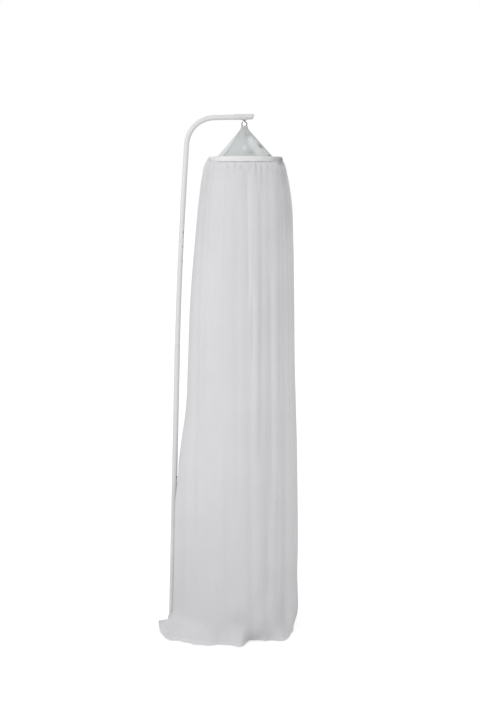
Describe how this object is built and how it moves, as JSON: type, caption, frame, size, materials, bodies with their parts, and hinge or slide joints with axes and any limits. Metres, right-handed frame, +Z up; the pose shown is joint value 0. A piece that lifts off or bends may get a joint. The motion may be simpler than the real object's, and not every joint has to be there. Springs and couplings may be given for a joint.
{
  "type": "mosquito net canopy with floor stand",
  "caption": "Sheer white net with a small cone roof and a hoop, gathered into a long skirt that falls to the floor from a bent-arm tube stand.",
  "frame": {"origin": "where the pole's axis meets the floor, on the underside of the base plate", "axes": "+Z up, +X along the arm from the pole to the canopy, -Y towards the side where the skirt's deep fold shows"},
  "size_m": [0.4916, 0.3606, 1.7969],
  "materials": {
    "white_paint": "satin white powder coat on steel tube and plate",
    "white_plastic": "plain moulded white plastic",
    "steel": "dull bright wire",
    "net": "sheer fine white net, soft and matt",
    "band_cloth": "closely woven white cotton tape",
    "cord": "thin braided white cord"
  },
  "bodies": {
    "root": {"base_plate": "white_paint", "base_socket": "white_paint", "lower_tube": "white_paint", "upper_tube": "white_paint", "snap_button": "steel", "arm_end_sleeve": "white_plastic", "hook_saddle": "white_plastic", "hook_nut": "steel", "net_hook": "steel", "hanging_loop": "cord", "hoop": "white_plastic", "hoop_band": "band_cloth", "roof_panel": "net", "skirt": "net"}
  },
  "joints": []
}
